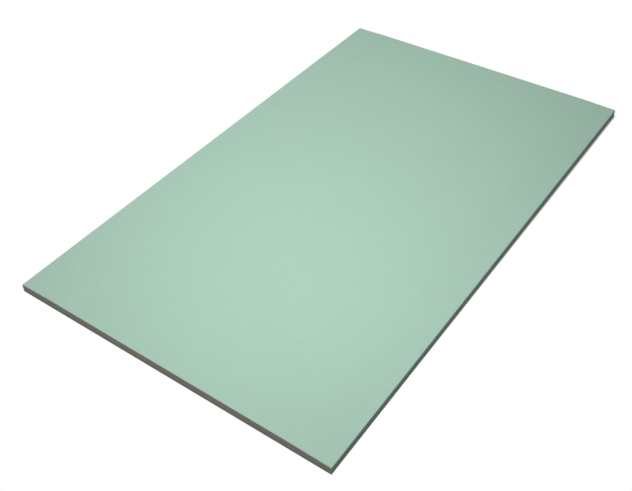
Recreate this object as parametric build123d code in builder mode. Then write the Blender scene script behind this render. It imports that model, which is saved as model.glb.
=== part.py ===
# Drywall sheet: a gypsum core between a folded face paper and a flat back paper.
# Millimetres. X is the width, Y the length, Z up with the green face on top.
# The origin is at the middle of the back, on the surface that the sheet lies on.

import os

from build123d import *

# The sheet
sheet_width = 600.0
sheet_length = 1000.0
sheet_thickness = 16.0

# The taper along each long edge, which leaves room for joint tape and compound
taper_width = 65.0
taper_depth = 1.5
taper_bend_radius = 500.0

# The two papers
face_paper_thickness = 0.3
back_paper_thickness = 0.3

# The face paper's folds, outside, at the top and the bottom of each long edge
top_fold_radius = 1.5
bottom_fold_radius = 1.5

# How far the face paper's flap comes in from the long edge on the back,
# and how far the back paper stops short of that edge
flap_width = 25.0
back_paper_setback = 8.0

# Heights and places that follow from these sizes
half_width = sheet_width / 2
wrap_bottom = back_paper_thickness
edge_top = sheet_thickness - taper_depth
taper_start = half_width - taper_width
flap_inner = half_width - flap_width

# The outline of the core with the face paper folded round it, across the sheet
wrapped_outline = [
    (-half_width, wrap_bottom),
    (half_width, wrap_bottom),
    (half_width, edge_top),
    (taper_start, sheet_thickness),
    (-taper_start, sheet_thickness),
    (-half_width, edge_top),
]
outline_radii = [
    bottom_fold_radius,
    bottom_fold_radius,
    top_fold_radius,
    taper_bend_radius,
    taper_bend_radius,
    top_fold_radius,
]

with BuildSketch(Plane.XZ) as wrapped_section:
    with BuildLine():
        FilletPolyline(*wrapped_outline, radius=outline_radii, close=True)
    make_face()

# The core is that outline less the paper, and reaches down between the two flaps
with BuildSketch(Plane.XZ) as core_section:
    add(wrapped_section.sketch_local)
    offset(amount=-face_paper_thickness)
    with Locations((0, wrap_bottom)):
        Rectangle(
            2 * flap_inner,
            2 * face_paper_thickness,
            align=(Align.CENTER, Align.MIN),
        )

# The gypsum core, bare at both cut ends
with BuildPart() as gypsum_core:
    with BuildSketch(Plane.XZ):
        add(core_section.sketch_local)
    extrude(amount=sheet_length / 2, both=True)

# The green face paper: one sheet over the face, round both long edges and onto the back
with BuildPart() as face_paper:
    with BuildSketch(Plane.XZ):
        add(wrapped_section.sketch_local)
        add(core_section.sketch_local, mode=Mode.SUBTRACT)
    extrude(amount=sheet_length / 2, both=True)

# The grey back paper, glued over the core and both flaps
with BuildPart() as back_paper:
    with BuildSketch():
        Rectangle(sheet_width - 2 * back_paper_setback, sheet_length)
    extrude(amount=back_paper_thickness)

gypsum_core.part.label = "gypsum_core"
face_paper.part.label = "face_paper"
back_paper.part.label = "back_paper"

os.makedirs("parts", exist_ok=True)
export_step(gypsum_core.part, "parts/gypsum_core.step")
export_step(face_paper.part, "parts/face_paper.step")
export_step(back_paper.part, "parts/back_paper.step")
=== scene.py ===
# Looks for the drywall sheet: green face paper, grey back paper, bare gypsum at the cut ends.
# Metres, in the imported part's frame. X is the width, Y the length, Z up with the green face on top.

import math

import bpy
import numpy as np
from mathutils import Matrix, Quaternion, Vector, noise


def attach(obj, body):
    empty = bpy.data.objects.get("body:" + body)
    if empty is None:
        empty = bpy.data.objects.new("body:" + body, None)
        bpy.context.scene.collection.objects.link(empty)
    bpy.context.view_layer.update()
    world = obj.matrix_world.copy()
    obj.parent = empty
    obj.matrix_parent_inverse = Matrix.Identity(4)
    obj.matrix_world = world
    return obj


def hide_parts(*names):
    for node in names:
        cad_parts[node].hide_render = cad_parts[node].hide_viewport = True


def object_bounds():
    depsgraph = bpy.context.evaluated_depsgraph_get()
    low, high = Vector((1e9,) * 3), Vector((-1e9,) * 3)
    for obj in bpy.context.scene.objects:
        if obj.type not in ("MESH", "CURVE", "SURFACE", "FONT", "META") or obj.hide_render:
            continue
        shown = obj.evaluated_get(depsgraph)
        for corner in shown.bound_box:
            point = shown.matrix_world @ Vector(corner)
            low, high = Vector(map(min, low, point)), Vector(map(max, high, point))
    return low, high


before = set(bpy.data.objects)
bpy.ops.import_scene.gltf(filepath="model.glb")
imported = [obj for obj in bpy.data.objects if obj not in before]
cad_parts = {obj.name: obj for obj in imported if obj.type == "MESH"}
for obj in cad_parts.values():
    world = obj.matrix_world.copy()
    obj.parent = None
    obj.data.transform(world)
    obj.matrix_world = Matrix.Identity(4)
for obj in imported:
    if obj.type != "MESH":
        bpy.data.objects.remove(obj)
cad_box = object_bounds()
MM = 0.001
MM_PER_METRE = 1000

# The sheet's size, from the CAD model's box, and its section, as in the part's source
HALF_WIDTH, HALF_LENGTH, THICKNESS = cad_box[1]
TAPER_WIDTH = 65 * MM
TAPER_DEPTH = 1.5 * MM
TAPER_BEND = 500 * MM
TOP_FOLD = 1.5 * MM
BOTTOM_FOLD = 1.5 * MM
PAPER = 0.3 * MM
FLAP_WIDTH = 25 * MM
BACK_PAPER_SETBACK = 8 * MM
FLAP_INNER = HALF_WIDTH - FLAP_WIDTH

# How finely the papers' sections are modelled, and the core's cut ends. The core has more
# columns of points at some angles round its top folds, and two at the wall of each rebate
PAPER_STEP = 0.75 * MM
FOLD_STEP = math.radians(10)
CORE_COLUMNS = 1100
CORE_ROWS = 28
CORE_FOLD_ANGLES = (25, 40, 55, 70)
REBATE_WALL = 0.01 * MM

# Faces that meet at more than this angle are shaded with an edge between them
SHARP_ANGLE = math.radians(40)

# How far behind each cut the papers have rows of points. The row at the cut itself is torn
ROWS_BEHIND_CUT = (0.0, 0.7 * MM, 3 * MM)

# How far the papers' cut edges lie back: at least, in long wanders, and in torn fibres. Here
# and below, a fractal noise has (smoothness, finer by this for each layer, layers), and the
# shifts give each end, each side of a paper and the pits a part of the noise of their own
TORN_LEAST = 0.08 * MM
TORN_WANDER = 0.06 * MM
TORN_FIBRE = 0.10 * MM
FIBRES_PER_METRE = 400
WANDERS_PER_FIBRE = 0.15
FIBRE_FRACTAL = (0.8, 2.1, 3)
PAPER_END_SHIFT = 7.0
PAPER_SIDE_SHIFT = 3.0

# How far the sawn gypsum lies back from the cut: in waves, in its grain, in pits where it
# crumbled, which are only where their noise is high, and in a dip along the papers
SAW_WAVE = 0.06 * MM
WAVES_PER_MM = 0.03
GRAIN_DEPTH = 0.13 * MM
GRAINS_PER_MM = 0.7
GRAIN_FRACTAL = (0.7, 2.0, 3)
PIT_DEPTH = 1.6 * MM
PITS_PER_MM = 0.33
PIT_LEAST = 0.42
DIP_DEPTH = 0.10 * MM
DIP_WIDTH = 0.6 * MM
CORE_END_SHIFT = 40.0
PIT_SHIFT = Vector((9, 4, 2))

# The texture map that each piece is painted on when the model is exported, and the gap
# between its blocks, as a share of its side. A long cut end is laid out on it in strips
TEXTURE_MAP = "OFBake"
MAP_GAP = 0.008
END_STRIPS = 4

# The photo's camera, found from the face's four edges and the two lower edges
CAMERA_PLACE = Vector((0.6608, -1.0382, 1.0029))
CAMERA_TARGET = Vector((0.0043, -0.1613, 0.0))
CAMERA_ROLL = math.radians(-1.714)
CAMERA_LENS_MM = 50.0
SENSOR_MM = 36.0
CAMERA_SHIFT_X = 0.0269

# Soft lamps, each (name, place, what it points at, disc diameter, watts). The two above the
# sheet leave its near end and right edge in shade, as in the photo. A weak one faces the end
LAMPS = (
    ("key_softbox", Vector((0.132, -0.349, 0.781)), Vector((0.132, -0.349, 0)), 0.28, 2.575),
    ("top_softbox", Vector((-0.283, 0.197, 1.496)), Vector((-0.283, 0.197, 0)), 0.60, 13.18),
    ("front_fill", Vector((-0.30, -2.40, 0.60)), Vector((-0.05, -0.50, 0)), 0.80, 2.45),
)

# The strength of the light that comes from every side
SKY_STRENGTH = 0.105

# The floor: grey for the light that it throws back, white where it is seen. Only close to the
# sheet does the shadow at its foot show. Its reach is small at the near end, from the left
# corner to the right one, and grows along the sheet to the far end
FLOOR_SIZE = 12.0
FLOOR_GREY = (0.28, 0.28, 0.28, 1.0)
SHADOW_SHARE = 0.88
SHADOW_REACH_NEAR = (0.9 * MM, 0.2 * MM)
SHADOW_REACH_FAR = 4.8 * MM

# Colours, linear
WHITE = (1.0, 1.0, 1.0, 1.0)
GREEN = (0.430, 0.648, 0.526)
GREEN_DEEP = (0.375, 0.590, 0.470)
GREEN_PALE = (0.520, 0.690, 0.590)
PULP = (0.50, 0.52, 0.45)
GYPSUM = (0.635, 0.655, 0.575)
GYPSUM_PALE = (0.70, 0.715, 0.64)
GYPSUM_DARK = (0.50, 0.52, 0.445)
# Painted shade deep in the gypsum's pores
PORE_SHADE_PAINTED = (0.33, 0.34, 0.29)
BACK_GREY = (0.47, 0.44, 0.385)
BACK_DARK = (0.30, 0.28, 0.24)
BACK_PALE = (0.62, 0.59, 0.53)

# The papers' fibres lie in layers, each (turn from the sheet's length, length over thickness)
FIBRE_LAYERS = ((0.10, 7.0), (0.75, 5.0), (-0.60, 6.0), (1.45, 4.0))
PAPER_RELIEF = 0.08 * MM
GYPSUM_RELIEF = 0.3 * MM
SMALLEST_OVER_LARGEST_PORE = 0.3

# At the cut ends the face paper's arris is fuzzed and pale, and painted shade darkens the
# gypsum deeper in its hollows. Each changes between two distances behind the cut. The paper's wander
ARRIS_PALE = 0.7
ARRIS_FUZZ = (0.3 * MM, 2.2 * MM)
ARRIS_WANDER = 4 * MM
HOLLOW_SHADE_PAINTED = 0.5
HOLLOW_SHADE_DEPTHS = (0.25 * MM, 0.9 * MM)

# A Mix node's sockets for colours, by number, because other kinds have the same names
MIX_COLOURS = (6, 7)
MIX_RESULT = 2


# Node helpers

class Graph:
    """The node tree of a material or a world, with short ways to add and link nodes."""

    def __init__(self, owner, output="ShaderNodeOutputMaterial"):
        owner.use_nodes = True
        self.owner = owner
        self.tree = owner.node_tree
        self.tree.nodes.clear()
        self.output = self.tree.nodes.new(output)

    def add(self, kind, *values, **settings):
        """A node with values in its first inputs, and its properties and other inputs by name."""
        made = self.tree.nodes.new(kind)
        for name, value in settings.items():
            if hasattr(made, name):
                setattr(made, name, value)
            else:
                self.put(value, made.inputs[name.replace("_", " ")])
        for target, value in zip(made.inputs, values):
            self.put(value, target)
        return made

    def put(self, value, target):
        """A plain value into an input, or a link from a socket or a node's first output."""
        if isinstance(value, (int, float, tuple)):
            target.default_value = value
        else:
            self.tree.links.new(value.outputs[0] if hasattr(value, "outputs") else value, target)

    def place(self):
        """Each point's place in the part's frame."""
        return self.add("ShaderNodeTexCoord").outputs["Object"]

    def math(self, operation, *values):
        """Scalar arithmetic on sockets or plain numbers."""
        return self.add("ShaderNodeMath", *values, operation=operation).outputs["Value"]

    def ramp(self, value, start, end, low=0.0, high=1.0):
        """A smooth step from low at start to high at end."""
        limits = {"From_Min": start, "From_Max": end, "To_Min": low, "To_Max": high}
        made = self.add("ShaderNodeMapRange", value, interpolation_type="SMOOTHSTEP", **limits)
        return made.outputs["Result"]

    def blend(self, share, first, second):
        """A colour mix. Colours are sockets or plain triples."""
        made = self.add("ShaderNodeMix", share, data_type="RGBA")
        for number, colour in zip(MIX_COLOURS, (first, second)):
            opaque = (*colour, 1.0) if isinstance(colour, tuple) else colour
            self.put(opaque, made.inputs[number])
        return made.outputs[MIX_RESULT]

    def tinted(self, colour, other, pattern, start, end, most):
        """A colour with another mixed in: none where the pattern is at start, most at end."""
        return self.blend(self.ramp(pattern, start, end, 0.0, most), colour, other)

    def noise(self, place, scale, detail=2.0, roughness=0.5):
        """Cloudy noise from 0 to 1, by its swells a metre, its layers and their strength."""
        layers = {"Detail": detail, "Roughness": roughness}
        return self.add("ShaderNodeTexNoise", place, Scale=scale, **layers).outputs["Fac"]

    def shaken(self, place, scale, distance):
        """Coordinates moved about by a fine noise, so that what is drawn on them is uneven."""
        shake = self.add("ShaderNodeTexNoise", place, Scale=scale, Detail=2.0).outputs["Color"]
        moved = self.add("ShaderNodeVectorMath", shake, operation="SCALE", Scale=distance)
        return self.add("ShaderNodeVectorMath", moved, place, operation="ADD")

    def stretched(self, place, length, turn=0.0):
        """Coordinates that draw a pattern longer along Y, or along a line turned from Y."""
        lying = {"Scale": (1.0, length, 1.0), "Rotation": (0.0, 0.0, turn)}
        return self.add("ShaderNodeMapping", place, vector_type="TEXTURE", **lying)

    def pores(self, place, scale, share, largest):
        """Round voids in a share of the cells of a pattern, from 0 outside to 1 deep inside."""
        cells = self.add("ShaderNodeTexVoronoi", place, Scale=scale, feature="F1").outputs
        chance = self.add("ShaderNodeSeparateColor", cells["Color"]).outputs["Red"]
        smallest = SMALLEST_OVER_LARGEST_PORE * largest
        size = self.ramp(chance, 1 - share, 1.0, smallest, largest)
        chosen = self.math("GREATER_THAN", chance, 1 - share)
        inside = self.math("SUBTRACT", size, cells["Distance"])
        return self.math("MULTIPLY", chosen, self.ramp(inside, 0.0, largest))

    def behind_cut(self, place):
        """How far behind the nearer cut end a point lies."""
        y = self.add("ShaderNodeSeparateXYZ", place).outputs["Y"]
        return self.math("SUBTRACT", HALF_LENGTH, self.math("ABSOLUTE", y))

    def background_rays(self):
        """1 for the rays that see the background: the camera's, off metal or through glass."""
        path = self.add("ShaderNodeLightPath").outputs
        mirrored = self.math("MAXIMUM", path["Is Glossy Ray"], path["Is Transmission Ray"])
        return self.math("MAXIMUM", path["Is Camera Ray"], mirrored)

    def finish(self, surface):
        """The owner, with the surface shader linked to its output."""
        self.put(surface, self.output.inputs["Surface"])
        return self.owner

    def matte(self, colour, relief, roughness, specular, strength, depth):
        """The matte surface that the sheet's materials share, with a bump from their relief."""
        bump = self.add("ShaderNodeBump", Height=relief, Strength=strength, Distance=depth)
        shine = {"Roughness": roughness, "Specular_IOR_Level": specular}
        return self.finish(self.add("ShaderNodeBsdfPrincipled", colour, Normal=bump, **shine))


# The stage

def make_world():
    """Soft light from every side, in front of a white background."""
    graph = Graph(bpy.data.worlds.new("studio"), "ShaderNodeOutputWorld")
    light = graph.add("ShaderNodeBackground", Color=WHITE, Strength=SKY_STRENGTH)
    white = graph.add("ShaderNodeBackground", Color=WHITE, Strength=1.0)
    mix = graph.add("ShaderNodeMixShader", graph.background_rays(), light, white)
    bpy.context.scene.world = graph.finish(mix)


def foot_shadow(graph):
    """How much of the sheet's shadow shows at each point of the floor."""
    axes = graph.add("ShaderNodeSeparateXYZ", graph.place()).outputs
    squares = []
    for axis, half in (("X", HALF_WIDTH), ("Y", HALF_LENGTH)):
        from_middle = graph.math("ABSOLUTE", axes[axis])
        past = graph.math("MAXIMUM", graph.math("SUBTRACT", from_middle, half), 0.0)
        squares.append(graph.math("MULTIPLY", past, past))
    distance = graph.math("SQRT", graph.math("ADD", *squares))

    near_reach = graph.ramp(axes["X"], -HALF_WIDTH, HALF_WIDTH, *SHADOW_REACH_NEAR)
    growth = graph.math("SUBTRACT", SHADOW_REACH_FAR, near_reach)
    along = graph.ramp(axes["Y"], -HALF_LENGTH, HALF_LENGTH)
    reach = graph.math("ADD", near_reach, graph.math("MULTIPLY", growth, along))
    return graph.ramp(graph.math("DIVIDE", distance, reach), 0.0, 1.0, SHADOW_SHARE, 0.0)


def floor_material():
    """White where it is seen, but for the foot shadow, and grey for all other light."""
    graph = Graph(bpy.data.materials.new("floor_white"))
    white = graph.add("ShaderNodeEmission", Color=WHITE, Strength=1.0)
    lit = graph.add("ShaderNodeBsdfDiffuse", Color=WHITE)
    seen = graph.add("ShaderNodeMixShader", foot_shadow(graph), white, lit)
    grey = graph.add("ShaderNodeBsdfDiffuse", Color=FLOOR_GREY)
    return graph.finish(graph.add("ShaderNodeMixShader", graph.background_rays(), grey, seen))


def make_floor():
    """The wide floor that the sheet lies on."""
    half = FLOOR_SIZE / 2
    mesh = bpy.data.meshes.new("floor")
    corners = [(-half, -half, 0), (half, -half, 0), (half, half, 0), (-half, half, 0)]
    mesh.from_pydata(corners, [], [(0, 1, 2, 3)])
    mesh.materials.append(floor_material())
    floor = bpy.data.objects.new("floor", mesh)
    bpy.context.scene.collection.objects.link(floor)


def make_lamps():
    """The soft lamps, each aimed at its target."""
    for name, place, target, size, watts in LAMPS:
        data = bpy.data.lights.new(name, "AREA")
        data.shape = "DISK"
        data.size = size
        data.energy = watts
        lamp = bpy.data.objects.new(name, data)
        aim = (target - place).to_track_quat("-Z", "Y")
        lamp.matrix_world = Matrix.LocRotScale(place, aim, None)
        bpy.context.scene.collection.objects.link(lamp)


def make_camera():
    """The photo's camera."""
    data = bpy.data.cameras.new("camera")
    data.sensor_fit = "HORIZONTAL"
    data.sensor_width = SENSOR_MM
    data.lens = CAMERA_LENS_MM
    data.shift_x = CAMERA_SHIFT_X
    camera = bpy.data.objects.new("camera", data)
    view = (CAMERA_TARGET - CAMERA_PLACE).normalized()
    level = view.to_track_quat("-Z", "Y")
    roll = Quaternion(view, -CAMERA_ROLL)
    camera.matrix_world = Matrix.LocRotScale(CAMERA_PLACE, roll @ level, None)
    bpy.context.scene.collection.objects.link(camera)
    bpy.context.scene.camera = camera


# Materials

def paper_fabric(graph, place):
    """A paper's short fibres, its tooth, and the relief that the two make together."""
    strands = 0.0
    for turn, length in FIBRE_LAYERS:
        layer = graph.noise(graph.stretched(place, length, turn), 2600.0, detail=1.0)
        strands = graph.math("MAXIMUM", strands, graph.ramp(layer, 0.54, 0.70))
    tooth = graph.noise(place, 1700.0, detail=3.0, roughness=0.7)
    relief = graph.math("ADD", graph.math("MULTIPLY", strands, 0.5), tooth)
    return strands, tooth, relief


def face_paper_material():
    """Green paper, clouded, mottled and streaked, with pale fibres and pale cut ends."""
    graph = Graph(bpy.data.materials.new("green_face_paper"))
    place = graph.place()
    strands, tooth, relief = paper_fabric(graph, place)
    clouds = graph.noise(place, 14.0, detail=3.0, roughness=0.55)
    mottle = graph.noise(graph.stretched(place, 2.2), 210.0, detail=3.0, roughness=0.6)
    streaks = graph.noise(graph.stretched(place, 33.0), 160.0)

    colour = graph.tinted(GREEN, GREEN_DEEP, clouds, 0.30, 0.70, most=0.12)
    colour = graph.tinted(colour, GREEN_DEEP, mottle, 0.35, 0.75, most=0.22)
    colour = graph.tinted(colour, GREEN_DEEP, streaks, 0.40, 0.70, most=0.12)
    colour = graph.tinted(colour, GREEN_DEEP, tooth, 0.50, 0.75, most=0.35)
    colour = graph.blend(graph.math("MULTIPLY", strands, 0.34), colour, GREEN_PALE)

    wander = graph.math("MULTIPLY", graph.math("SUBTRACT", mottle, 0.5), ARRIS_WANDER)
    from_cut = graph.math("ADD", graph.behind_cut(place), wander)
    colour = graph.blend(graph.ramp(from_cut, *ARRIS_FUZZ, ARRIS_PALE, 0.0), colour, PULP)

    roughness = graph.ramp(mottle, 0.3, 0.7, 0.78, 0.90)
    return graph.matte(
        colour, relief, roughness=roughness, specular=0.25, strength=0.45, depth=PAPER_RELIEF
    )


def gypsum_material():
    """Bare gypsum, clouded and grained, with pores of two sizes, and painted shade in its pores and
    hollows.
    """
    graph = Graph(bpy.data.materials.new("gypsum"))
    place = graph.place()
    clouds = graph.noise(place, 60.0, detail=3.0, roughness=0.6)
    grain = graph.noise(place, 1100.0, detail=4.0, roughness=0.7)
    uneven = graph.shaken(place, 1500.0, 0.5 * MM)
    small = graph.pores(uneven, 1700.0, share=0.45, largest=0.42)
    large = graph.pores(uneven, 520.0, share=0.22, largest=0.26)
    voids = graph.math("MAXIMUM", small, large)

    colour = graph.tinted(GYPSUM, GYPSUM_PALE, clouds, 0.3, 0.7, most=0.5)
    colour = graph.tinted(colour, GYPSUM_DARK, grain, 0.35, 0.7, most=0.5)
    # Painted shade: the gypsum is darker the deeper a hollow lies behind the cut
    behind_cut = graph.behind_cut(place)
    colour = graph.tinted(colour, GYPSUM_DARK, behind_cut, *HOLLOW_SHADE_DEPTHS, most=HOLLOW_SHADE_PAINTED)
    # Painted shade in the pores, darkest deep inside them
    colour = graph.blend(graph.math("MULTIPLY", voids, 0.90), colour, PORE_SHADE_PAINTED)
    relief = graph.math("SUBTRACT", grain, graph.math("MULTIPLY", voids, 1.4))
    return graph.matte(
        colour, relief, roughness=0.95, specular=0.2, strength=0.7, depth=GYPSUM_RELIEF
    )


def back_paper_material():
    """Grey paper, clouded and mottled, with pale fibres and dark flecks."""
    graph = Graph(bpy.data.materials.new("grey_back_paper"))
    place = graph.place()
    strands, tooth, relief = paper_fabric(graph, place)
    clouds = graph.noise(place, 18.0, detail=3.0, roughness=0.55)
    mottle = graph.noise(graph.stretched(place, 2.5), 260.0, detail=4.0, roughness=0.65)
    flecks = graph.noise(place, 1300.0)

    colour = graph.tinted(BACK_GREY, BACK_DARK, clouds, 0.3, 0.7, most=0.22)
    colour = graph.tinted(colour, BACK_DARK, mottle, 0.35, 0.7, most=0.30)
    colour = graph.blend(graph.math("MULTIPLY", strands, 0.40), colour, BACK_PALE)
    colour = graph.tinted(colour, BACK_DARK, flecks, 0.66, 0.74, most=0.6)
    return graph.matte(
        colour, relief, roughness=0.9, specular=0.2, strength=0.45, depth=PAPER_RELIEF
    )


# The section's path: rows of x, z and the direction that faces outwards there

def unit(x, z):
    """The same direction, one long."""
    length = math.hypot(x, z)
    return x / length, z / length


def rounded_corner(before, corner, after, radius):
    """Rows round one corner of a clockwise path, from tangent to tangent."""
    ax, az = unit(corner[0] - before[0], corner[1] - before[1])
    bx, bz = unit(after[0] - corner[0], after[1] - corner[1])
    turn = math.acos(max(-1.0, min(1.0, ax * bx + az * bz)))
    setback = radius * math.tan(turn / 2)
    centre_x = corner[0] - ax * setback + az * radius
    centre_z = corner[1] - az * setback - ax * radius
    steps = max(math.ceil(turn / FOLD_STEP), math.ceil(turn * radius / PAPER_STEP))
    begin = math.atan2(ax, -az)
    rows = []
    for step in range(steps + 1):
        angle = begin - turn * step / steps
        nx, nz = math.cos(angle), math.sin(angle)
        rows.append((centre_x + nx * radius, centre_z + nz * radius, nx, nz))
    return rows


def fine_path(corners, radii):
    """A clockwise path through corners that are rounded, with rows a paper step apart at most."""
    first_x, first_z = unit(corners[1][0] - corners[0][0], corners[1][1] - corners[0][1])
    last_x, last_z = unit(corners[-1][0] - corners[-2][0], corners[-1][1] - corners[-2][1])
    marks = [(*corners[0], -first_z, first_x)]
    for number in range(1, len(corners) - 1):
        marks += rounded_corner(*corners[number - 1:number + 2], radii[number])
    marks.append((*corners[-1], -last_z, last_x))
    rows = [marks[0]]
    for mark in marks[1:]:
        last = rows[-1]
        pieces = math.ceil(math.dist(mark[:2], last[:2]) / PAPER_STEP)
        for piece in range(1, pieces + 1):
            share = piece / pieces
            rows.append(tuple(a + (b - a) * share for a, b in zip(last, mark)))
    return np.array(rows)


def face_path():
    """The face paper's outside, from one flap's inner edge round the face to the other's."""
    right = [
        (HALF_WIDTH - TAPER_WIDTH, THICKNESS, TAPER_BEND),
        (HALF_WIDTH, THICKNESS - TAPER_DEPTH, TOP_FOLD),
        (HALF_WIDTH, PAPER, BOTTOM_FOLD),
        (FLAP_INNER, PAPER, 0.0),
    ]
    left = [(-x, z, radius) for x, z, radius in reversed(right)]
    corners = [(x, z) for x, z, radius in left + right]
    radii = [radius for x, z, radius in left + right]
    return fine_path(corners, radii)


def back_path():
    """The back paper's underside, from its right edge to its left one."""
    edge = HALF_WIDTH - BACK_PAPER_SETBACK
    return fine_path([(edge, 0.0), (-edge, 0.0)], [0.0, 0.0])


# Meshes

def grid_faces(grid):
    """Quads over a grid of vertex numbers, or over a grid of their places on a map."""
    corners = (grid[:-1, :-1], grid[:-1, 1:], grid[1:, 1:], grid[1:, :-1])
    return np.stack(corners, 2).reshape(-1, 4, *grid.shape[2:])


def spread(places, start, end):
    """Places along a line, moved and scaled to run from start to end."""
    places = np.array(places, float)
    return start + (end - start) * (places - places[0]) / (places[-1] - places[0])


def lanes(*shares):
    """Start and end of lanes that lie side by side over the texture map, in these shares."""
    scale = (1 - MAP_GAP * (len(shares) + 1)) / sum(shares)
    widths = [share * scale for share in shares]
    ends = np.cumsum([width + MAP_GAP for width in widths])
    return [(end - width, end) for end, width in zip(ends, widths)]


def block(grid, across, up, columns=None, rows=None):
    """A grid of vertex numbers, and their places where two lanes of the texture map cross."""
    columns = range(grid.shape[1]) if columns is None else columns
    rows = range(grid.shape[0]) if rows is None else rows
    return grid, np.stack(np.meshgrid(spread(columns, *across), spread(rows, *up)), -1)


def make_piece(name, vertices, blocks, material, node):
    """A piece that stands for a node, from the blocks that its surface is made of."""
    grids, maps = zip(*blocks)
    faces = np.concatenate([grid_faces(grid) for grid in grids])
    places = np.concatenate([grid_faces(grid) for grid in maps])
    mesh = bpy.data.meshes.new(name)
    mesh.from_pydata(vertices, [], faces.tolist())
    mesh.uv_layers.new(name=TEXTURE_MAP).uv.foreach_set("vector", places.ravel())
    mesh.polygons.foreach_set("use_smooth", [True] * len(mesh.polygons))
    mesh.set_sharp_from_angle(angle=SHARP_ANGLE)
    mesh.materials.append(material)
    piece = bpy.data.objects.new(name, mesh)
    bpy.context.scene.collection.objects.link(piece)
    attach(piece, "root")
    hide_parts(node)


def ragged(x, z, end, side):
    """How far back from the cut the paper's torn edge lies at a point."""
    up = z * FIBRES_PER_METRE + PAPER_END_SHIFT * end
    place = Vector((x * FIBRES_PER_METRE, up, PAPER_SIDE_SHIFT + side))
    wander = noise.noise(place * WANDERS_PER_FIBRE)
    fibre = noise.fractal(place, *FIBRE_FRACTAL)
    return max(0.0, TORN_LEAST + TORN_WANDER * wander + TORN_FIBRE * fibre)


def make_paper(name, path, material, node):
    """A paper as a closed sheet along its path, cut a little ragged at both ends."""
    outer = path[:, :2]
    inner = outer - path[:, 2:] * PAPER
    around = [(x, z, 0) for x, z in outer] + [(x, z, 1) for x, z in inner[::-1]]
    near_rows = [(-1, behind) for behind in ROWS_BEHIND_CUT]
    far_rows = [(1, behind) for behind in reversed(ROWS_BEHIND_CUT)]
    vertices = []
    for end, behind in near_rows + far_rows:
        for x, z, side in around:
            back = behind or ragged(x, z, end, side)
            vertices.append((x, end * (HALF_LENGTH - back), z))
    count = len(around)
    half = len(outer)
    index = np.arange(len(vertices)).reshape(-1, count)
    sides = np.concatenate([index, index[:, :1]], axis=1)
    near = np.stack([index[0, half:][::-1], index[0, :half]])
    far = np.stack([index[-1, :half], index[-1, half:][::-1]])

    # Nearly all of the texture map is for the outside, whose ends get more than their share
    outside, first_rim, inside, last_rim = lanes(185, 1, 5, 1)
    length, near_cut, far_cut = lanes(190, 1, 1)
    whole = lanes(1)[0]
    rows = (0.0, 0.01, 0.025, 0.975, 0.99, 1.0)
    blocks = [
        block(sides[:, :half], outside, length, rows=rows),
        block(sides[:, half - 1:half + 1], first_rim, length, rows=rows),
        block(sides[:, half:count], inside, length, rows=rows),
        block(sides[:, count - 1:], last_rim, length, rows=rows),
        block(near, whole, near_cut),
        block(far, whole, far_cut),
    ]
    make_piece(name, vertices, blocks, material, node)


def make_face_paper(material):
    """The face paper, folded round both long edges onto the back."""
    make_paper("face_paper_folded", face_path(), material, "face_paper")


def make_back_paper(material):
    """The back paper, flat over the core and the face paper's flaps."""
    make_paper("back_paper_laid", back_path(), material, "back_paper")


def core_columns():
    """Places across the core, and its lowest and highest z at each, inside the face paper."""
    path = face_path()
    inner = path[:, :2] - path[:, 2:] * PAPER
    right = inner[inner[:, 0] > 0]

    # Rounded, so that the rows down the upright edge face neither up nor down
    upwards = path[inner[:, 0] > 0, 3].round(6)
    top = right[upwards > 0]
    bottom = right[upwards < 0][::-1]

    reach = HALF_WIDTH - PAPER
    angles = np.radians(CORE_FOLD_ANGLES)
    folds = reach - TOP_FOLD * (1 - np.cos(angles))
    walls = (FLAP_INNER - REBATE_WALL, FLAP_INNER)
    places = np.array([*np.linspace(0, reach, CORE_COLUMNS // 2), *folds, *walls])
    places = np.unique([*places, *-places])
    from_middle = np.abs(places)
    above = np.interp(from_middle, top[:, 0], top[:, 1])
    below = np.interp(from_middle, bottom[:, 0], bottom[:, 1])
    below[from_middle < FLAP_INNER] = PAPER
    return places, below, above


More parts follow.
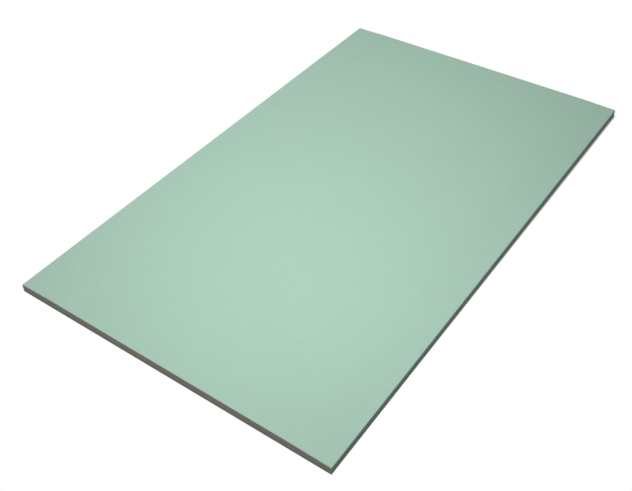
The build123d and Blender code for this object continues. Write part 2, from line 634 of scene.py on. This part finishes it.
def crumble(x, z, end, to_paper):
    """How far the sawn gypsum lies back from the cut at a point."""
    place = Vector((x * MM_PER_METRE, z * MM_PER_METRE, CORE_END_SHIFT * end))
    wave = max(0.0, 0.5 + noise.noise(place * WAVES_PER_MM))
    grain = max(0.0, 0.5 + 0.5 * noise.fractal(place * GRAINS_PER_MM, *GRAIN_FRACTAL))
    pit = max(0.0, noise.noise(place * PITS_PER_MM + PIT_SHIFT) - PIT_LEAST)
    dip = math.exp(-((to_paper / DIP_WIDTH) ** 2))
    return SAW_WAVE * wave + GRAIN_DEPTH * grain + PIT_DEPTH * pit + DIP_DEPTH * dip


def make_core(material):
    """The gypsum core, plain along its length and crumbled over both cut ends."""
    places, below, above = core_columns()

    # The rows start from the height of the rebates, so that only the lowest one steps there
    base = np.maximum(below, 2 * PAPER)
    heights = base + (above - base) * np.linspace(0, 1, CORE_ROWS + 1)[:, None]
    heights[0] = below
    vertices = []
    for end in (-1, 1):
        for row in heights:
            for x, z, bottom, top in zip(places, row, base, above):
                back = crumble(x, z, end, min(z - bottom, top - z))
                vertices.append((x, end * (HALF_LENGTH - back), z))
    near = np.arange(heights.size).reshape(heights.shape)
    far = near + near.size

    # The cut ends fill most of the texture map. The hidden walls share what is left
    *shelves, hidden = lanes(*[3] * (2 * END_STRIPS), 2)
    over, under, right, left = lanes(4, 4, 1, 1)
    whole = lanes(1)[0]
    blocks = [
        block(np.stack([near[-1], far[-1]]), over, hidden, places),
        block(np.stack([far[0], near[0]]), under, hidden, places),
        block(np.stack([near[::-1, -1], far[::-1, -1]]), right, hidden),
        block(np.stack([near[:, 0], far[:, 0]]), left, hidden),
    ]
    strips = np.linspace(0, len(places) - 1, END_STRIPS + 1).astype(int)
    for number, (first, last) in enumerate(zip(strips, strips[1:])):
        part = slice(first, last + 1)
        near_shelf, far_shelf = shelves[number], shelves[number + END_STRIPS]
        blocks.append(block(near[:, part], whole, near_shelf, places[part]))
        blocks.append(block(far[:, ::-1][:, part], whole, far_shelf, places[::-1][part]))
    make_piece("gypsum_core_cut", vertices, blocks, material, "gypsum_core")


bpy.context.scene.view_settings.view_transform = "Standard"
make_world()
make_floor()
make_lamps()
make_camera()
make_core(gypsum_material())
make_face_paper(face_paper_material())
make_back_paper(back_paper_material())
